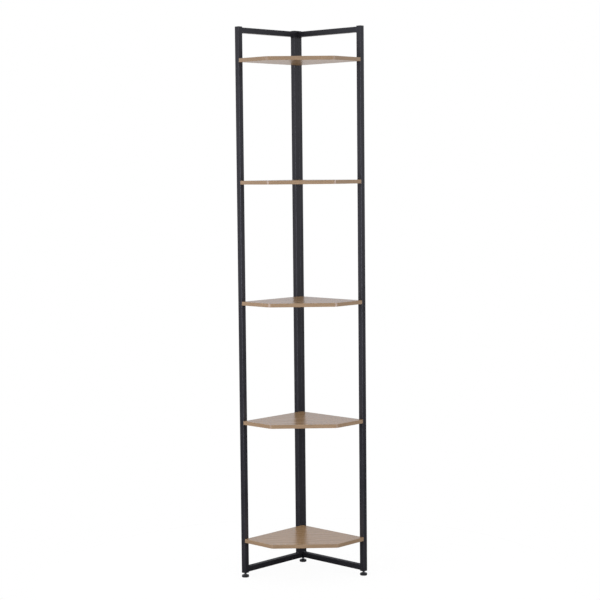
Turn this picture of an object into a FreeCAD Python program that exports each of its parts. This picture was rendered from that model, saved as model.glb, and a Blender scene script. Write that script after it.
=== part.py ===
import FreeCAD, Part
import math
import os

# A corner shelf unit: two welded side frames of square tube meet in an L and carry five boards.
# Sizes are in millimetres. Places are given along the two walls: "right" is the distance from the
# wall corner along the right frame, "left" the distance along the left frame, "up" the height.

# Side frames
frame_depth = 300.0
tube_side = 18.0
tube_wall = 1.2
tube_outer_radius = 1.5
tube_inner_radius = 0.5

# Shelf heights, all measured on the boards' upper faces
shelf_count = 5
shelf_pitch = 400.0
lowest_shelf_rise = 114.5
top_shelf_drop = 101.0

# Boards and their edge bands
board_thickness = 12.5
side_edge_length = 128.0
front_corner_radius = 14.0
band_thickness = 1.0
band_arris = 0.4

# Caps and plugs in the tube ends
flange_thickness = 3.0
flange_edge_radius = 1.0
cap_depth = 14.0
cap_skirt = 1.6
fin_reach = 0.9
fin_thickness = 1.0
fin_count = 3
plug_clearance = 0.1
foot_plug_depth = 22.0
flush_plug_floor = 2.0

# Levelling feet
foot_rise = 14.5
pad_radius = 12.0
pad_thickness = 7.5
pad_top_radius = 2.0
pad_sole_chamfer = 0.6
boss_height = 2.0
boss_foot_radius = 6.5
boss_top_radius = 5.5
socket_floor = 3.0
stud_radius = 4.0
stud_length = 36.0
stud_chamfer = 0.8
stud_clearance = 0.1
plug_bore_clearance = 0.5
sleeve_wall = 1.6
sleeve_height = 10.0
sleeve_rise = 2.0

# Bolts, with their inserts and nuts
bolt_radius = 2.5
bolt_length = 12.0
bolt_head_radius = 4.75
bolt_head_height = 2.75
bolt_head_round = 1.4
bolt_socket_width = 3.0
bolt_socket_depth = 1.6
bolt_hole_clearance = 0.25
access_clearance = 0.5
thread_clearance = 0.1
insert_radius = 4.0
insert_length = 11.5
insert_clearance = 0.05
pilot_clearance = 1.0
nut_width = 8.0
nut_height = 4.0
frame_bolt_count = 3

# One overrun serves all cuts
overrun = 1.0

UP = FreeCAD.Vector(0, 0, 1)
RIGHT = FreeCAD.Vector(1, 0, 0)
LEFT = FreeCAD.Vector(0, -1, 0)
FRONT = RIGHT + LEFT
DOWN = -UP
PARALLEL_SHARE = 0.999

post_foot = foot_rise + flange_thickness
post_length = lowest_shelf_rise + (shelf_count - 1) * shelf_pitch + top_shelf_drop
post_head = post_foot + post_length
tube_bore = tube_side - 2 * tube_wall
front_start = frame_depth - tube_side
sleeve_radius = stud_radius + stud_clearance + sleeve_wall

# The bolts between the back posts are spread over the bays from the lowest to the highest
last_bay = shelf_count - 2
frame_bolt_bays = [round(last_bay * i / (frame_bolt_count - 1)) for i in range(frame_bolt_count)]

# The four posts, by the corner of their section that lies nearest to the wall corner
posts = {
    "left_front": (0, front_start),
    "left_back": (0, tube_side),
    "right_back": (0, 0),
    "right_front": (front_start, 0),
}
footed_posts = ("left_front", "right_back", "right_front")

# Each board is bolted to three posts, along the direction that leads from the post into its edge
shelf_fixings = {"left_front": RIGHT, "left_back": RIGHT, "right_front": LEFT}


def spot(right, left, up):
    """The point at these distances from the wall corner and the floor."""
    return FreeCAD.Vector(right - frame_depth / 2, frame_depth / 2 - left, up)


def block(low, high):
    """A plain block between two corners, each given as right, left, up."""
    size = [high[i] - low[i] for i in range(len(low))]
    return Part.makeBox(*size, spot(low[0], high[1], low[2]))


def edges_along(shape, direction):
    """The straight edges of a shape that run along a direction."""
    found = []
    for edge in shape.Edges:
        if abs(edge.tangentAt(edge.FirstParameter).dot(direction)) > PARALLEL_SHARE:
            found.append(edge)
    return found


def bar(low, high, direction, radius):
    """A block whose four edges along a direction are rounded."""
    plain = block(low, high)
    return plain.makeFillet(radius, edges_along(plain, direction))


def tube(low, high, direction):
    """A length of square tube between two corners."""
    along = [abs(direction.x) > 0, abs(direction.y) > 0, abs(direction.z) > 0]
    inset = [-overrun if runs else tube_wall for runs in along]
    inner_low = [low[i] + inset[i] for i in range(len(low))]
    inner_high = [high[i] - inset[i] for i in range(len(high))]
    outer = bar(low, high, direction, tube_outer_radius)
    return outer.cut(bar(inner_low, inner_high, direction, tube_inner_radius))


def rod(radius, start, direction, length):
    return Part.makeCylinder(radius, length, start, direction)


def hexagon(width, length):
    """A hexagonal rod that stands on the origin, given by its width across flats."""
    corner_radius = width / math.sqrt(3)
    turns = [math.radians(60 * corner) for corner in range(6)]
    points = [FreeCAD.Vector(math.cos(a), math.sin(a), 0) * corner_radius for a in turns]
    return Part.Face(Part.makePolygon(points + points[:1])).extrude(UP * length)


def placed(shape, point, direction):
    """A copy of a shape, with its own up turned to a direction and its origin at a point."""
    moved = shape.copy()
    moved.Placement = FreeCAD.Placement(point, FreeCAD.Rotation(UP, direction))
    return moved


def save(name, *solids):
    shape = solids[0] if len(solids) == 1 else Part.makeCompound(solids)
    for solid in shape.Solids:
        if not solid.isValid():
            raise ValueError(name + " has a solid that isn't valid")
    print("%-26s solids %2d  volume %11.1f" % (name, len(shape.Solids), shape.Volume))
    shape.exportStep("parts/" + name + ".step")


def shelf_top(index):
    """Height of a board's upper face. Index 0 is the lowest board."""
    return post_foot + lowest_shelf_rise + index * shelf_pitch


def shelf_middle(index):
    return shelf_top(index) - board_thickness / 2


def bay_middle(index):
    """Height halfway between a board and the one above it."""
    return (shelf_top(index) + shelf_top(index + 1) - board_thickness) / 2


def post_centre(name, up):
    right, left = posts[name]
    return spot(right + tube_side / 2, left + tube_side / 2, up)


def fixing_holes(centre, direction):
    """The two holes in a post for one bolt: a wide one for the head and a close one for the shank."""
    access = rod(bolt_head_radius + access_clearance, centre, -direction, tube_side / 2 + overrun)
    through = rod(bolt_radius + bolt_hole_clearance, centre, direction, tube_side / 2 + overrun)
    return access.fuse(through)


def make_post(name):
    right, left = posts[name]
    shape = tube((right, left, post_foot), (right + tube_side, left + tube_side, post_head), UP)
    if name in shelf_fixings:
        for index in range(shelf_count):
            centre = post_centre(name, shelf_middle(index))
            shape = shape.cut(fixing_holes(centre, shelf_fixings[name]))
    for bay in frame_bolt_bays:
        centre = post_centre(name, bay_middle(bay))
        if name == "right_back":
            shape = shape.cut(fixing_holes(centre, LEFT))
        if name == "left_back":
            reach = tube_side / 2 + overrun
            shape = shape.cut(rod(bolt_radius + bolt_hole_clearance, centre, -LEFT, reach))
    save(name + "_post", shape)


def make_rails():
    """The rails run between the posts of each frame, flush with the posts' ends and faces."""
    levels = {"bottom": post_foot, "top": post_head - tube_side}
    for level, low in levels.items():
        high = low + tube_side
        left_rail = tube((0, 2 * tube_side, low), (tube_side, front_start, high), LEFT)
        right_rail = tube((tube_side, 0, low), (front_start, tube_side, high), RIGHT)
        save("left_%s_rail" % level, left_rail)
        save("right_%s_rail" % level, right_rail)


def bolt():
    """A button-head bolt whose head stands on the origin's plane and whose shank points up."""
    head = Part.makeCylinder(bolt_head_radius, bolt_head_height, FreeCAD.Vector(0, 0, -bolt_head_height))
    rim = [e for e in head.Edges if e.BoundBox.ZMax < bolt_head_round - bolt_head_height]
    head = head.makeFillet(bolt_head_round, rim)
    shank = Part.makeCylinder(bolt_radius, bolt_length)
    socket = hexagon(bolt_socket_width, bolt_socket_depth + overrun)
    socket.translate(DOWN * (bolt_head_height + overrun))
    return head.fuse(shank).removeSplitter().cut(socket)


def head_seat(name, direction, up):
    """Where a bolt's head sits: inside the post, on the wall that faces the bolted piece."""
    return post_centre(name, up) + direction * (tube_side / 2 - tube_wall)


def make_shelf_fixings():
    sleeve = Part.makeCylinder(insert_radius, insert_length)
    bore = rod(bolt_radius + thread_clearance, DOWN * overrun, UP, insert_length + 2 * overrun)
    insert = sleeve.cut(bore)
    bolts = []
    inserts = []
    for index in range(shelf_count):
        for name, direction in shelf_fixings.items():
            seat = head_seat(name, direction, shelf_middle(index))
            bolts.append(placed(bolt(), seat, direction))
            inserts.append(placed(insert, seat + direction * tube_wall, direction))
    save("shelf_bolts", *bolts)
    save("shelf_inserts", *inserts)


def make_frame_fixings():
    """Bolts that draw the two back posts together, with nuts welded inside the left one."""
    bore = rod(bolt_radius + thread_clearance, DOWN * overrun, UP, nut_height + 2 * overrun)
    nut = hexagon(nut_width, nut_height).cut(bore)
    bolts = []
    nuts = []
    for bay in frame_bolt_bays:
        seat = head_seat("right_back", LEFT, bay_middle(bay))
        bolts.append(placed(bolt(), seat, LEFT))
        nuts.append(placed(nut, seat + LEFT * (2 * tube_wall), LEFT))
    save("frame_bolts", *bolts)
    save("frame_nuts", *nuts)


def square_bar(width, radius, length):
    """A square bar with rounded corners that stands on the origin, centred on it."""
    plain = Part.makeBox(width, width, length, FreeCAD.Vector(-width / 2, -width / 2, 0))
    return plain.makeFillet(radius, edges_along(plain, UP))


def finned_stem(depth):
    """The part of a cap or plug that goes into a tube end: a stem with rows of fins, pointing up."""
    stem = square_bar(tube_bore - 2 * (plug_clearance + fin_reach), tube_inner_radius, depth)
    fin = square_bar(tube_bore - 2 * plug_clearance, fin_reach, fin_thickness)
    for row in range(fin_count):
        ring = fin.copy()
        ring.translate(UP * ((row + 1) * depth / (fin_count + 1) - fin_thickness / 2))
        stem = stem.fuse(ring)
    return stem


def flange():
    """The visible rim of a cap or plug, as wide as the tube, with its outer edge rounded, facing down."""
    rim = square_bar(tube_side, tube_outer_radius, flange_thickness)
    outer = [e for e in rim.Edges if e.BoundBox.ZMax < flange_edge_radius]
    rim = rim.makeFillet(flange_edge_radius, outer)
    rim.translate(DOWN * flange_thickness)
    return rim


def make_caps():
    hollow_width = tube_bore - 2 * (plug_clearance + fin_reach + cap_skirt)
    hollow = square_bar(hollow_width, tube_inner_radius, cap_depth + overrun)
    cap = flange().fuse(finned_stem(cap_depth)).cut(hollow)
    for name in posts:
        save(name + "_cap", placed(cap, post_centre(name, post_head), DOWN))


def make_plugs():
    """Plugs with a threaded sleeve for each foot, and a flush one where there is no foot."""
    bore_length = flange_thickness + foot_plug_depth + 2 * overrun
    bore = rod(stud_radius + plug_bore_clearance, DOWN * (flange_thickness + overrun), UP, bore_length)
    pocket = rod(sleeve_radius, UP * sleeve_rise, UP, sleeve_height)
    plug = flange().fuse(finned_stem(foot_plug_depth)).cut(bore).cut(pocket)
    thread_length = sleeve_height + 2 * overrun
    thread = rod(stud_radius + stud_clearance, UP * (sleeve_rise - overrun), UP, thread_length)
    sleeve = pocket.cut(thread)
    sleeves = []
    for name in footed_posts:
        foot = post_centre(name, post_foot)
        save(name + "_plug", placed(plug, foot, UP))
        sleeves.append(placed(sleeve, foot, UP))
    save("foot_sleeves", *sleeves)

    hollow_width = tube_bore - 2 * (plug_clearance + fin_reach + cap_skirt)
    hollow = square_bar(hollow_width, tube_inner_radius, cap_depth)
    hollow.translate(UP * flush_plug_floor)
    face = square_bar(tube_bore - 2 * plug_clearance, fin_reach, flush_plug_floor)
    flush_plug = finned_stem(cap_depth).fuse(face).cut(hollow)
    save("left_back_plug", placed(flush_plug, post_centre("left_back", post_foot), UP))


def make_feet():
    disc = Part.makeCylinder(pad_radius, pad_thickness)
    top_rim = [e for e in disc.Edges if e.BoundBox.ZMin > pad_thickness - pad_top_radius]
    disc = disc.makeFillet(pad_top_radius, top_rim)
    sole_rim = [e for e in disc.Edges if e.BoundBox.ZMax < pad_sole_chamfer]
    disc = disc.makeChamfer(pad_sole_chamfer, sole_rim)
    boss = Part.makeCone(boss_foot_radius, boss_top_radius, boss_height, UP * pad_thickness)
    socket_depth = pad_thickness + boss_height - socket_floor + overrun
    socket = rod(stud_radius + stud_clearance, UP * socket_floor, UP, socket_depth)
    pad = disc.fuse(boss).cut(socket)
    stud = rod(stud_radius, UP * socket_floor, UP, stud_length)
    ends = [e for e in stud.Edges if e.Closed]
    stud = stud.makeChamfer(stud_chamfer, ends)
    for name in footed_posts:
        floor_point = post_centre(name, 0)
        save(name + "_pad", placed(pad, floor_point, UP))
        save(name + "_stud", placed(stud, floor_point, UP))


def shelf_blank(inset, low, high):
    """A shelf's outline between two heights, with its free sides set back and its front corners rounded."""
    edge = frame_depth - inset
    front = tube_side + side_edge_length - inset * (math.sqrt(2) - 1)
    outline = ((tube_side, tube_side), (edge, tube_side), (edge, front), (front, edge), (tube_side, edge))
    points = [spot(right, left, low) for right, left in outline]
    plain = Part.Face(Part.makePolygon(points + points[:1])).extrude(UP * (high - low))
    beyond_tips = spot(edge, tube_side + side_edge_length / 2, low).dot(FRONT)
    corners = [e for e in edges_along(plain, UP) if e.CenterOfMass.dot(FRONT) > beyond_tips]
    return plain.makeFillet(front_corner_radius - inset, corners)


def free_rims(blank):
    """The upper and lower edges of a blank along its three free sides, round the front corners too."""
    back_corner = spot(tube_side, tube_side, 0)
    found = []
    for edge in blank.Edges:
        middle = (edge.FirstParameter + edge.LastParameter) / 2
        offset = edge.valueAt(middle) - back_corner
        upright = abs(edge.tangentAt(middle).dot(UP)) > PARALLEL_SHARE
        if not upright and min(offset.dot(RIGHT), offset.dot(LEFT)) > band_thickness:
            found.append(edge)
    return found


def make_shelf(index):
    high = shelf_top(index)
    low = high - board_thickness
    name = "shelf_%d" % (index + 1)
    board = shelf_blank(band_thickness, low, high)
    for post, direction in shelf_fixings.items():
        edge_point = head_seat(post, direction, shelf_middle(index)) + direction * tube_wall
        start = edge_point - direction * overrun
        board = board.cut(rod(insert_radius + insert_clearance, start, direction, overrun + insert_length))
        pilot_depth = bolt_length - tube_wall + pilot_clearance
        board = board.cut(rod(bolt_radius + thread_clearance, start, direction, overrun + pilot_depth))
    save(name + "_board", board)

    blank = shelf_blank(0, low, high)
    blank = blank.makeFillet(band_arris, free_rims(blank))
    core = shelf_blank(band_thickness, low - overrun, high + overrun)
    save(name + "_band", blank.cut(core))


os.makedirs("parts", exist_ok=True)
for post_name in posts:
    make_post(post_name)
make_rails()
make_caps()
make_plugs()
make_feet()
for shelf_index in range(shelf_count):
    make_shelf(shelf_index)
make_shelf_fixings()
make_frame_fixings()
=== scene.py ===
import math

import bmesh
import bpy
from mathutils import Matrix, Vector


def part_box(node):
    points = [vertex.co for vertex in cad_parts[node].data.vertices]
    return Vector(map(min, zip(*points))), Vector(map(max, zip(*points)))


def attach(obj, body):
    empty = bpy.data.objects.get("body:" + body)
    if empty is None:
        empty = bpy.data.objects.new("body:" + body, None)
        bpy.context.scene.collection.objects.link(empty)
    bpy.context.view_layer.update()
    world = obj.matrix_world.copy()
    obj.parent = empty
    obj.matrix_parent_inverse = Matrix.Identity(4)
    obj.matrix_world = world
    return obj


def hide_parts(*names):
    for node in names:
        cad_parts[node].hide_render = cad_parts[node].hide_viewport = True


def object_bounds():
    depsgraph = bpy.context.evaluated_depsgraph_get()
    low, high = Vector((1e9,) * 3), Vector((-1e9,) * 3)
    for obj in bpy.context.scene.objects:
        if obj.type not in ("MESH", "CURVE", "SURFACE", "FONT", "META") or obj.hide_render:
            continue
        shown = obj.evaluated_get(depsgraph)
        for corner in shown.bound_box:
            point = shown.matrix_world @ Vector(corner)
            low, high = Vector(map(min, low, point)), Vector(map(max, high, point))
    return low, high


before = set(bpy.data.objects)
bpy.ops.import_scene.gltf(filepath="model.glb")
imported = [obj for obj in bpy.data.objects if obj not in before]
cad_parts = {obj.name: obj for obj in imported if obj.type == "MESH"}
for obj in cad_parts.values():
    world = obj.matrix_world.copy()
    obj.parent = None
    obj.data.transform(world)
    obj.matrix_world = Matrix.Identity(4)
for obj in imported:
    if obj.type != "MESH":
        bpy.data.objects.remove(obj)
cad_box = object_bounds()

# The looks of the corner shelf unit: finishes, threaded studs, welds, floor, light and camera.
# Sizes are in metres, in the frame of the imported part. A texture's scale counts features in a metre.
MM = 0.001
FOOTED_POSTS = [name.removesuffix("_stud") for name in sorted(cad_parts) if name.endswith("_stud")]

# The way that the part's front looks, from +X
front_angle = math.radians(-45)

# The range that most noise values lie in
noise_span = (0.3, 0.7)


def feed(tree, socket, value):
    """Links another node's output to a socket, or sets the socket to a value."""
    if isinstance(value, bpy.types.NodeSocket):
        tree.links.new(value, socket)
    else:
        socket.default_value = value


def add(tree, kind, inputs=None, **settings):
    """A shader node, with its settings and with its inputs set or linked."""
    made = tree.nodes.new("ShaderNode" + kind)
    for name, value in settings.items():
        setattr(made, name, value)
    for key, value in (inputs or {}).items():
        feed(tree, made.inputs[key], value)
    return made


def start(material):
    """Empties a material and returns its tree with a fresh surface shader."""
    material.use_nodes = True
    tree = material.node_tree
    tree.nodes.clear()
    shader = add(tree, "BsdfPrincipled")
    add(tree, "OutputMaterial", {"Surface": shader.outputs["BSDF"]})
    return tree, shader


def join(tree, shader, **sockets):
    """Links or sets inputs of a shader. An underscore in a name stands for a space."""
    for name, value in sockets.items():
        feed(tree, shader.inputs[name.replace("_", " ")], value)


def place(tree):
    """The point on the piece, in the part's frame."""
    return add(tree, "TexCoord").outputs["Object"]


def stretched(tree, vector, scale):
    """A vector with each of its directions scaled by itself."""
    return add(tree, "VectorMath", {0: vector, 1: scale}, operation="MULTIPLY").outputs["Vector"]


def noise(tree, vector, scale, detail=2.0, roughness=0.5):
    """Soft noise with a scale of its own in each direction."""
    settings = {"Scale": 1.0, "Detail": detail, "Roughness": roughness}
    return add(tree, "TexNoise", {"Vector": stretched(tree, vector, scale), **settings}).outputs["Fac"]


def spread(tree, value, span, low=0.0, high=1.0):
    """A value that runs from low to high while another runs over its span."""
    settings = {"Value": value, "From Min": span[0], "From Max": span[1], "To Min": low, "To Max": high}
    return add(tree, "MapRange", settings, clamp=True).outputs["Result"]


def weighted(tree, *parts):
    """The sum of values, each times its weight."""
    total = 0.0
    for value, weight in parts:
        total = add(tree, "Math", {0: value, 1: weight, 2: total}, operation="MULTIPLY_ADD").outputs["Value"]
    return total


def larger(tree, first, second):
    """The larger of two values."""
    return add(tree, "Math", {0: first, 1: second}, operation="MAXIMUM").outputs["Value"]


def ramp(tree, value, places, colours):
    """Colours along a value, each at its place."""
    made = add(tree, "ValToRGB", {"Fac": value})
    elements = made.color_ramp.elements
    while len(elements) < len(colours):
        elements.new(1.0)
    for element, position, colour in zip(elements, places, colours):
        element.position = position
        element.color = (*colour, 1.0)
    return made.outputs["Color"]


def mixed(tree, factor, first, second):
    """A colour between two others."""
    made = add(tree, "Mix", {"Factor": factor}, data_type="RGBA")
    colour_inputs = [socket for socket in made.inputs if socket.type == "RGBA"]
    for socket, colour in zip(colour_inputs, (first, second)):
        feed(tree, socket, colour if isinstance(colour, bpy.types.NodeSocket) else (*colour, 1.0))
    return next(socket for socket in made.outputs if socket.type == "RGBA")


def bump(tree, height, distance, strength):
    """A normal for relief that is at most a distance high."""
    settings = {"Height": height, "Distance": distance, "Strength": strength}
    return add(tree, "Bump", settings).outputs["Normal"]


def upright(tree):
    """How far the surface looks up: 1 on a floor, 0 on a wall and -1 on a ceiling."""
    normal = add(tree, "NewGeometry").outputs["True Normal"]
    return add(tree, "SeparateXYZ", {"Vector": normal}).outputs["Z"]


# Powder coat of the frames
coat_grain_scale = (1500, 1500, 1500)
coat_peel_scale = (260, 260, 260)
coat_mottle_scale = (24, 24, 11)
coat_colours = ((0.0142, 0.0136, 0.0172), (0.0188, 0.0180, 0.0228))
coat_tone_shares = (0.35, 0.65)
coat_satin_shares = (0.4, 0.6)
coat_relief_shares = (0.5, 0.5)
coat_roughness = (0.26, 0.36)
coat_settled_roughness = 0.34
coat_settled_span = (0.5, 0.9)
coat_relief = 0.03 * MM
coat_relief_strength = 0.6
coat_gloss = 0.36


def finish_frame(material):
    """Satin black powder coat: a fine grain and a faint mottle, duller where powder settles from above."""
    tree, shader = start(material)
    point = place(tree)
    grain = noise(tree, point, coat_grain_scale, detail=2.0, roughness=0.55)
    peel = noise(tree, point, coat_peel_scale, detail=1.0)
    mottle = noise(tree, point, coat_mottle_scale, detail=3.0, roughness=0.6)
    tone = weighted(tree, *zip((grain, mottle), coat_tone_shares))
    sheen = weighted(tree, *zip((grain, mottle), coat_satin_shares))
    satin = spread(tree, sheen, noise_span, *coat_roughness)
    settled = spread(tree, upright(tree), coat_settled_span, high=coat_settled_roughness)
    height = weighted(tree, *zip((grain, peel), coat_relief_shares))
    join(tree, shader, Base_Color=ramp(tree, tone, noise_span, coat_colours))
    join(tree, shader, Roughness=weighted(tree, (satin, 1.0), (settled, 1.0)))
    join(tree, shader, Normal=bump(tree, height, coat_relief, coat_relief_strength))
    join(tree, shader, Specular_IOR_Level=coat_gloss)


# Oak decor, on the boards' faces and on their edge bands. Its colours run from dark to light.
oak_tone_share = 0.34
oak_stripe_share = 0.22
oak_fibre_share = 0.44
oak_places = (0.22, 0.5, 0.78)
oak_pore_span = (0.58, 0.68)
oak_pore_depth = 0.55
oak_fibre_height = 0.4
oak_pore_height = -0.6
oak_relief = 0.02 * MM


def oak_colour(tree, grain, colours, pore_colour):
    """Colour from the values of a grain: a ramp over their sum, darkened in the pores."""
    shares = {"tone": oak_tone_share, "stripes": oak_stripe_share, "fibres": oak_fibre_share}
    value = weighted(tree, *((grain[name], share) for name, share in shares.items()))
    depth = spread(tree, grain["pores"], oak_pore_span, high=oak_pore_depth)
    return mixed(tree, depth, ramp(tree, value, oak_places, colours), pore_colour)


def oak_height(tree, grain):
    """Relief of a grain: raised fibres and sunken pores."""
    return weighted(tree, (grain["fibres"], oak_fibre_height), (grain["pores"], oak_pore_height))


def edge_plane(tree):
    """The place along an upright edge and the height on it, as a flat vector."""
    normal = add(tree, "NewGeometry").outputs["True Normal"]
    point = place(tree)
    along = add(tree, "VectorMath", {0: normal, 1: (0, 0, 1)}, operation="CROSS_PRODUCT").outputs["Vector"]
    distance = add(tree, "VectorMath", {0: point, 1: along}, operation="DOT_PRODUCT").outputs["Value"]
    height = add(tree, "SeparateXYZ", {"Vector": point}).outputs["Z"]
    return add(tree, "CombineXYZ", {"X": distance, "Y": height}).outputs["Vector"]


# Faces of the boards. Scales run along the grain, which follows the front edge, then across it and up.
board_grain_turn = (0, 0, -front_angle - math.pi / 2)
board_ring_scale = (1.6, 22, 9)
board_ring_form = {
    "Scale": 1.0, "Distortion": 9.0, "Detail": 3.0, "Detail Scale": 0.6, "Detail Roughness": 0.6,
}
board_tone_scale = (2.2, 14, 31)
board_fibre_scale = (7, 420, 31)
board_pore_scale = (45, 1500, 31)
board_colours = ((0.258, 0.148, 0.068), (0.328, 0.198, 0.095), (0.400, 0.252, 0.130))
board_pore_colour = (0.185, 0.105, 0.050)
board_roughness = (0.24, 0.30)
board_under_roughness = 0.02
board_under_span = (-0.5, 0.5)
board_relief_strength = 0.2

# Raw particle board, where no band covers a board's edge. Scales run along the edge, then up it.
core_chip_scale = (330, 900, 1)
core_dust_scale = (1500, 3200, 1)
core_shares = (0.6, 0.4)
core_places = (0.20, 0.45, 0.80)
core_colours = ((0.200, 0.115, 0.058), (0.365, 0.232, 0.130), (0.490, 0.338, 0.203))
core_flatness_span = (0.3, 0.7)
core_roughness = 0.5
core_height = 20.0


def face_grain(tree):
    """The values of the oak grain on a board's faces. Its stripes are growth rings."""
    turned = add(tree, "Mapping", {"Vector": place(tree), "Rotation": board_grain_turn}).outputs["Vector"]
    settings = {"Vector": stretched(tree, turned, board_ring_scale), **board_ring_form}
    rings = add(tree, "TexWave", settings, wave_type="BANDS", bands_direction="Y", wave_profile="SAW")
    return {
        "tone": noise(tree, turned, board_tone_scale),
        "stripes": rings.outputs["Fac"],
        "fibres": noise(tree, turned, board_fibre_scale, detail=4.0, roughness=0.65),
        "pores": noise(tree, turned, board_pore_scale),
    }


def raw_core(tree):
    """Particle board on an edge: the colour of chips that lie flat, and the value behind it."""
    flat = edge_plane(tree)
    cells = add(tree, "TexVoronoi", {"Vector": stretched(tree, flat, core_chip_scale), "Scale": 1.0})
    chips = add(tree, "SeparateXYZ", {"Vector": cells.outputs["Color"]}).outputs["X"]
    dust = noise(tree, flat, core_dust_scale, detail=3.0, roughness=0.6)
    tone = weighted(tree, *zip((chips, dust), core_shares))
    return ramp(tree, tone, core_places, core_colours), tone


def finish_board(material):
    """Oak decor on both faces of a board, and the raw core on its edges."""
    tree, shader = start(material)
    grain = face_grain(tree)
    core, core_tone = raw_core(tree)
    facing = upright(tree)
    flatness = add(tree, "Math", {0: facing}, operation="ABSOLUTE").outputs["Value"]
    raw = spread(tree, flatness, core_flatness_span, low=1.0, high=0.0)
    oak = oak_colour(tree, grain, board_colours, board_pore_colour)
    satin = spread(tree, grain["fibres"], noise_span, *board_roughness)
    under = spread(tree, facing, board_under_span, low=board_under_roughness, high=0.0)
    chip_height = weighted(tree, (raw, core_height))
    height = weighted(tree, (oak_height(tree, grain), flatness), (core_tone, chip_height))
    join(tree, shader, Base_Color=mixed(tree, flatness, core, oak))
    join(tree, shader, Roughness=weighted(tree, (satin, 1.0), (under, 1.0), (raw, core_roughness)))
    join(tree, shader, Normal=bump(tree, height, oak_relief, board_relief_strength))


# Edge bands of the boards. Scales run along the edge, then up it.
band_tone_scale = (9, 60, 1)
band_streak_scale = (5, 330, 1)
band_fibre_scale = (12, 1100, 1)
band_pore_scale = (70, 2200, 1)
band_colours = ((0.258, 0.167, 0.100), (0.325, 0.218, 0.135), (0.390, 0.268, 0.172))
band_pore_colour = (0.21, 0.13, 0.075)
band_roughness = (0.22, 0.32)
band_relief_strength = 0.5


def edge_grain(tree):
    """The values of the oak grain on an edge band. Its stripes run along the edge."""
    flat = edge_plane(tree)
    return {
        "tone": noise(tree, flat, band_tone_scale),
        "stripes": noise(tree, flat, band_streak_scale, detail=3.0, roughness=0.6),
        "fibres": noise(tree, flat, band_fibre_scale, detail=3.0, roughness=0.6),
        "pores": noise(tree, flat, band_pore_scale),
    }


def finish_band(material):
    """Oak edge band: a touch greyer than the boards, with its grain along the edge."""
    tree, shader = start(material)
    grain = edge_grain(tree)
    join(tree, shader, Base_Color=oak_colour(tree, grain, band_colours, band_pore_colour))
    join(tree, shader, Roughness=spread(tree, grain["fibres"], noise_span, *band_roughness))
    join(tree, shader, Normal=bump(tree, oak_height(tree, grain), oak_relief, band_relief_strength))


# Moulded plastic of the caps, plugs and pads
plastic_grain_scale = (2200, 2200, 2200)
plastic_cloud_scale = (130, 130, 130)
plastic_colours = ((0.010, 0.010, 0.011), (0.016, 0.016, 0.017))
plastic_roughness = (0.36, 0.50)
plastic_relief = 0.02 * MM
plastic_relief_strength = 0.5


def finish_plastic(material):
    """Black moulded plastic with a fine spark-eroded grain."""
    tree, shader = start(material)
    point = place(tree)
    grain = noise(tree, point, plastic_grain_scale, detail=1.0)
    cloud = noise(tree, point, plastic_cloud_scale, detail=3.0, roughness=0.6)
    join(tree, shader, Base_Color=ramp(tree, cloud, noise_span, plastic_colours))
    join(tree, shader, Roughness=spread(tree, cloud, noise_span, *plastic_roughness))
    join(tree, shader, Normal=bump(tree, grain, plastic_relief, plastic_relief_strength))


# Plated steel: dark studs, and pale bolts, nuts, inserts and sleeves
steel_cloud_scale = (220, 220, 220)
steel_mark_scale = (150, 150, 5200)
steel_shares = (0.5, 0.5)
steel_relief = 0.008 * MM
steel_relief_strength = 0.4
stud_colours = ((0.27, 0.272, 0.28), (0.37, 0.374, 0.385))
stud_roughness = (0.28, 0.44)
zinc_colours = ((0.50, 0.51, 0.53), (0.64, 0.65, 0.67))
zinc_roughness = (0.24, 0.40)


def finish_steel(material, colours, roughness):
    """Plated steel: cloudy plating and fine turning marks round the upright axis."""
    tree, shader = start(material)
    point = place(tree)
    cloud = noise(tree, point, steel_cloud_scale, detail=3.0, roughness=0.6)
    marks = noise(tree, point, steel_mark_scale)
    wear = weighted(tree, *zip((cloud, marks), steel_shares))
    join(tree, shader, Base_Color=ramp(tree, cloud, noise_span, colours), Metallic=1.0)
    join(tree, shader, Roughness=spread(tree, wear, noise_span, *roughness))
    join(tree, shader, Normal=bump(tree, marks, steel_relief, steel_relief_strength))


def finish_stud(material):
    finish_steel(material, stud_colours, stud_roughness)


def finish_zinc(material):
    finish_steel(material, zinc_colours, zinc_roughness)


FINISHES = {
    "frame_coat": finish_frame,
    "oak_board": finish_board,
    "oak_band": finish_band,
    "black_plastic": finish_plastic,
    "stud_steel": finish_stud,
    "zinc_steel": finish_zinc,
}


def make_mesh(name, shape):
    """Turns a shape into a mesh and frees it."""
    mesh = bpy.data.meshes.new(name)
    shape.to_mesh(mesh)
    shape.free()
    return mesh


def add_object(name, data):
    """Puts a mesh, a lamp or a camera into the scene."""
    made = bpy.data.objects.new(name, data)
    bpy.context.scene.collection.objects.link(made)
    return made


def new_piece(name, shape, body, slot):
    """A piece that rides on a body and takes the finish of a slot."""
    piece = add_object(name, make_mesh(name, shape))
    piece.data.materials.append(bpy.data.materials[slot])
    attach(piece, body)
    return piece


def skin(shape, rings):
    """Joins rings of points into one smooth closed form with flat ends."""
    count = len(rings[0])
    for lower, upper in zip(rings, rings[1:]):
        for i in range(count):
            j = (i + 1) % count
            shape.faces.new((lower[i], lower[j], upper[j], upper[i])).smooth = True
    shape.faces.new(list(reversed(rings[0])))
    shape.faces.new(rings[-1])


# Thread of the foot studs. Rows are counted in each turn.
thread_pitch = 1.25 * MM
thread_depth = 0.68 * MM
thread_flat_share = 0.1
thread_rows = 10
thread_columns = 40


def thread_radius(turns, radius):
    """Radius of a thread with flat crests and roots at a place along it, given in turns."""
    share = abs((turns % 1.0) * 2 - 1)
    depth_share = (share - thread_flat_share) / (1 - 2 * thread_flat_share)
    return radius - thread_depth * min(1.0, max(0.0, depth_share))


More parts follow.
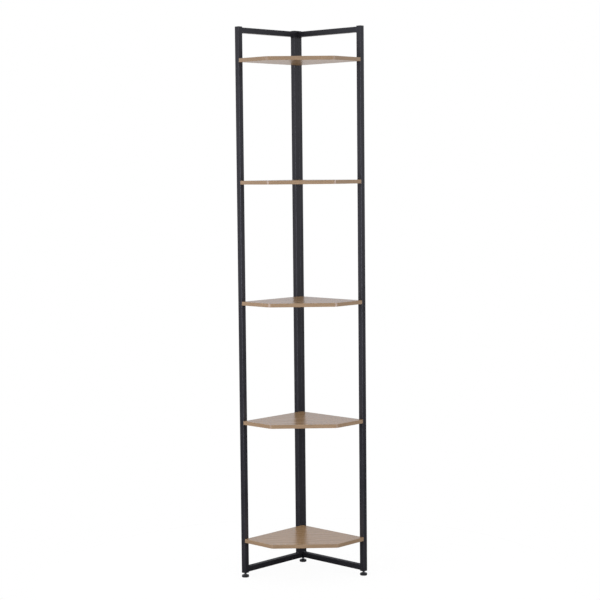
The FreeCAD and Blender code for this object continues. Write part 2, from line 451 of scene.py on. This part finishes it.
def thread_ring(shape, axis, radius, limit, z):
    """The points of a thread at one height, kept within a limiting radius."""
    ring = []
    for column in range(thread_columns):
        turn = column / thread_columns
        r = min(limit, thread_radius(z / thread_pitch - turn, radius))
        angle = 2 * math.pi * turn
        ring.append(shape.verts.new((axis.x + r * math.cos(angle), axis.y + r * math.sin(angle), z)))
    return ring


def make_stud(post):
    """A stud with a real screw thread and chamfered ends, in place of the plain rod."""
    node = post + "_stud"
    low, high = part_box(node)
    axis = (low + high) / 2
    radius = (high.x - low.x) / 2
    length = high.z - low.z
    count = round(length / thread_pitch * thread_rows)
    shape = bmesh.new()
    rings = []
    for row in range(count + 1):
        z = low.z + length * row / count
        chamfer = radius - thread_depth + min(z - low.z, high.z - z)
        rings.append(thread_ring(shape, axis, radius, chamfer, z))
    skin(shape, rings)
    piece = new_piece(post + "_threaded_stud", shape, post + "_foot_stud", "stud_steel")
    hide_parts(node)


# Welds at the rail ends: a fillet in each inside corner and a dressed seam on each side
fillet_leg = 3.2 * MM
fillet_crown = 0.25 * MM
seam_width = 4.6 * MM
seam_crown = 0.14 * MM
seam_ripple_share = 0.25
weld_root = 0.5 * MM
weld_margin = 0.8 * MM
weld_taper = 2.4 * MM
weld_tip_share = 0.02
weld_steps = 56
weld_points = 8
ripple_pitch = 2.1 * MM
ripple_height = 0.16 * MM
ripple_bow = 0.35


def weld_arch():
    """Shares of the way across a weld, each with the height of an arch of height 1 over it."""
    shares = [i / weld_points for i in range(weld_points + 1)]
    return [(share, 4 * share * (1 - share)) for share in shares]


def fillet_section():
    """Outline of a fillet weld between two faces: side and outward distances, and how far it ripples."""
    section = []
    for share, swell in weld_arch():
        bulge = fillet_crown * swell / math.sqrt(2)
        section.append((fillet_leg * (1 - share) + bulge, fillet_leg * share + bulge, swell))
    return section


def seam_section():
    """Outline of a weld that was dressed nearly flush with the faces on both sides of it."""
    section = []
    for share, swell in weld_arch():
        section.append((seam_width * (0.5 - share), seam_crown * swell, seam_ripple_share * swell))
    return section


def add_weld(shape, section, start_point, end_point, side, out, root):
    """Sweeps a weld's outline between two points, rippled along its run and rounded off at its ends."""
    length = (end_point - start_point).length
    lift = -root.normalized()
    rings = []
    for step in range(weld_steps + 1):
        distance = length * step / weld_steps
        inward = min(1.0, max(weld_tip_share, min(distance, length - distance) / weld_taper))
        size = math.sqrt(1 - (1 - inward) ** 2)
        centre = start_point.lerp(end_point, step / weld_steps)
        ring = [shape.verts.new(centre + root * weld_root)]
        for i, (across, away, swell) in enumerate(section):
            bow = ripple_bow * (2 * i / weld_points - 1) ** 2
            wave = 0.5 + 0.5 * math.cos(2 * math.pi * (distance / ripple_pitch + bow))
            ripple = lift * (ripple_height * swell * wave)
            ring.append(shape.verts.new(centre + size * (side * across + out * away + ripple)))
        rings.append(ring)
    skin(shape, rings)


def weld_rail(shape, rail, inside):
    """The welds at both ends of a rail. Inside is the upright direction into the frame's opening."""
    low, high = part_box(rail)
    run = Vector((0, 1, 0)) if high.y - low.y > high.x - low.x else Vector((1, 0, 0))
    across = Vector((1, 1, 0)) - run
    middle = (low + high) / 2
    inner_height = high.z if inside.z > 0 else low.z
    half_width = (high - low).dot(across) / 2
    half_height = Vector((0, 0, (high.z - low.z) / 2 - weld_margin))
    reach = across * (half_width - weld_margin)
    for end, away in ((low, run), (high, -run)):
        corner = middle + run * (end - middle).dot(run)
        inner = Vector((corner.x, corner.y, inner_height))
        add_weld(shape, fillet_section(), inner - reach, inner + reach, away, inside, -away - inside)
        for face in (across, -across):
            spot = corner + face * half_width
            add_weld(shape, seam_section(), spot - half_height, spot + half_height, away, face, -face)


def make_welds(side):
    """All welds of one side frame, under the same coat as its tubes."""
    shape = bmesh.new()
    for level, inside in (("bottom", Vector((0, 0, 1))), ("top", Vector((0, 0, -1)))):
        weld_rail(shape, "%s_%s_rail" % (side, level), inside)
    bmesh.ops.recalc_face_normals(shape, faces=shape.faces)
    new_piece(side + "_frame_welds", shape, "shelf_frame", "frame_coat")


# Floor: paper grey for light that bounces, dark in reflections, and nearly clear to the camera
floor_radius = 0.9
floor_sides = 96
floor_pale = (0.42, 0.42, 0.42)
floor_dark = (0.06, 0.06, 0.06)
floor_glow = 0.03
floor_shade = (0.055, 0.055, 0.055, 1.0)
floor_clear = (0.95, 0.95, 0.95, 1.0)


def mirrored(tree, rays):
    """1 for what a reflection or glass shows, and 0 for the rest."""
    return larger(tree, rays["Is Glossy Ray"], rays["Is Transmission Ray"])


def finish_floor(material):
    """White to the camera with a faint shadow, clear from below, and a grey floor to all other light."""
    material.use_nodes = True
    tree = material.node_tree
    tree.nodes.clear()
    rays = add(tree, "LightPath").outputs
    tone = mixed(tree, rays["Is Diffuse Ray"], floor_dark, floor_pale)
    paper = add(tree, "BsdfDiffuse", {"Color": tone}).outputs["BSDF"]
    glow = weighted(tree, (mirrored(tree, rays), floor_glow))
    gleam = add(tree, "Emission", {"Strength": glow}).outputs["Emission"]
    real = add(tree, "AddShader", {0: paper, 1: gleam}).outputs["Shader"]
    shade = add(tree, "BsdfDiffuse", {"Color": floor_shade}).outputs["BSDF"]
    through = add(tree, "BsdfTransparent", {"Color": floor_clear}).outputs["BSDF"]
    seen = add(tree, "AddShader", {0: shade, 1: through}).outputs["Shader"]
    top = add(tree, "MixShader", {0: rays["Is Camera Ray"], 1: real, 2: seen}).outputs["Shader"]
    under = add(tree, "NewGeometry").outputs["Backfacing"]
    clear = add(tree, "BsdfTransparent").outputs["BSDF"]
    surface = add(tree, "MixShader", {0: under, 1: top, 2: clear}).outputs["Shader"]
    add(tree, "OutputMaterial", {"Surface": surface})


def make_floor():
    """A round floor under the part, clear enough to show feet screwed out below it."""
    shape = bmesh.new()
    bmesh.ops.create_circle(shape, cap_ends=True, segments=floor_sides, radius=floor_radius)
    floor = add_object("floor", make_mesh("floor", shape))
    floor.location.z = cad_box[0].z
    material = bpy.data.materials.new("floor_white")
    finish_floor(material)
    floor.data.materials.append(material)


# Surroundings. A rise is how far a direction points up, from -1 to 1, and a depth how far it points back.
studio_white = (1.0, 1.0, 1.0)
studio_back = (-math.cos(front_angle), -math.sin(front_angle), 0)
gloss_rise_span = (-0.11, -0.02)
gloss_depth_span = (0.4, 0.7)
gloss_turn_span = (-0.05, 0.02)
gloss_dark = (0.02, 0.02, 0.02)
gloss_low = (0.87, 0.84, 0.84)
gloss_high = (0.757, 0.777, 0.838)
fill_rise_span = (-1.0, 1.0)
fill_places = (0.40, 0.52, 0.70)
fill_colours = ((0.50, 0.50, 0.50), (0.42, 0.42, 0.42), (0.84, 0.84, 0.84))


def studio_gloss(tree, direction, rise):
    """What reflections show: pale above the horizon and behind the part, and dark in front below it."""
    depth = add(tree, "VectorMath", {0: direction, 1: studio_back}, operation="DOT_PRODUCT").outputs["Value"]
    above = spread(tree, rise, gloss_rise_span)
    lit = larger(tree, above, spread(tree, depth, gloss_depth_span))
    bright = mixed(tree, spread(tree, rise, gloss_turn_span), gloss_low, gloss_high)
    return mixed(tree, lit, gloss_dark, bright)


def make_world():
    """A studio: white where the camera looks, pale and dark in reflections, and even in fill."""
    world = bpy.data.worlds.new("studio")
    bpy.context.scene.world = world
    world.use_nodes = True
    # Light that differs by kind of ray is found by the rays themselves, not sampled as a lamp is
    world.cycles.sampling_method = "NONE"
    tree = world.node_tree
    tree.nodes.clear()
    rays = add(tree, "LightPath").outputs
    direction = add(tree, "TexCoord").outputs["Generated"]
    rise = add(tree, "SeparateXYZ", {"Vector": direction}).outputs["Z"]
    fill = ramp(tree, spread(tree, rise, fill_rise_span), fill_places, fill_colours)
    light = mixed(tree, mirrored(tree, rays), fill, studio_gloss(tree, direction, rise))
    colour = mixed(tree, rays["Is Camera Ray"], light, studio_white)
    background = add(tree, "Background", {"Color": colour, "Strength": 1.0})
    add(tree, "OutputWorld", {"Surface": background.outputs["Background"]})


# Lamps. A bearing is in degrees from the part's front, to the right, and a power in watts.
softbox_distance = 2.2
softbox_height = 0.96
SOFTBOXES = {
    "left_softbox": {"bearing": -46, "size": (1.6, 1.4), "power": 28.4},
    "right_softbox": {"bearing": 46, "size": (1.1, 1.4), "power": 12.6},
}
rim_distance = 20.0
rim_height = 0.15
rim_size = (18.6, 3.6)
rim_tint = (0.814, 0.814, 1.0)
RIMS = {
    "left_rim": {"bearing": -52, "power": 1900.0},
    "right_rim": {"bearing": 52, "power": 1600.0},
}


def make_lamp(name, distance, height, bearing, size, power):
    """An area lamp at a bearing from the part's front, aimed level at the part's axis."""
    light = bpy.data.lights.new(name, "AREA")
    light.shape = "RECTANGLE"
    light.size, light.size_y = size
    light.energy = power
    lamp = add_object(name, light)
    heading = math.radians(bearing) + front_angle
    lamp.location = (distance * math.cos(heading), distance * math.sin(heading), height)
    aim = Vector((0, 0, height)) - lamp.location
    lamp.rotation_euler = aim.to_track_quat("-Z", "Y").to_euler()
    lamp.visible_camera = False
    lamp.visible_glossy = False
    return lamp


def make_rim(name, bearing, power):
    """A wide low lamp that shows in gloss alone: on the boards' round corners, and cool on the posts."""
    lamp = make_lamp(name, rim_distance, rim_height, bearing, rim_size, power)
    lamp.visible_glossy = True
    lamp.visible_diffuse = False
    lamp.data.color = rim_tint


# Camera of the photograph
camera_place = Vector((3.6351, -3.8179, 1.3752))
camera_heading = math.radians(43.665)
camera_tilt = math.radians(4.779)
camera_roll = math.radians(-0.561)
camera_lens = 95.416


def make_camera():
    """The photograph's viewpoint, found from the part's edges in it."""
    camera = add_object("camera", bpy.data.cameras.new("camera"))
    turn = Matrix.Rotation(camera_heading, 4, "Z")
    tilt = Matrix.Rotation(math.pi / 2 - camera_tilt, 4, "X")
    roll = Matrix.Rotation(camera_roll, 4, "Z")
    camera.matrix_world = Matrix.Translation(camera_place) @ turn @ tilt @ roll
    camera.data.lens = camera_lens
    bpy.context.scene.camera = camera


for slot_name, make_finish in FINISHES.items():
    make_finish(bpy.data.materials[slot_name])
for post_name in FOOTED_POSTS:
    make_stud(post_name)
for side_name in ("left", "right"):
    make_welds(side_name)
make_floor()
make_world()
for lamp_name, lamp_values in SOFTBOXES.items():
    make_lamp(lamp_name, softbox_distance, softbox_height, **lamp_values)
for lamp_name, lamp_values in RIMS.items():
    make_rim(lamp_name, **lamp_values)
make_camera()
bpy.context.scene.view_settings.view_transform = "Standard"
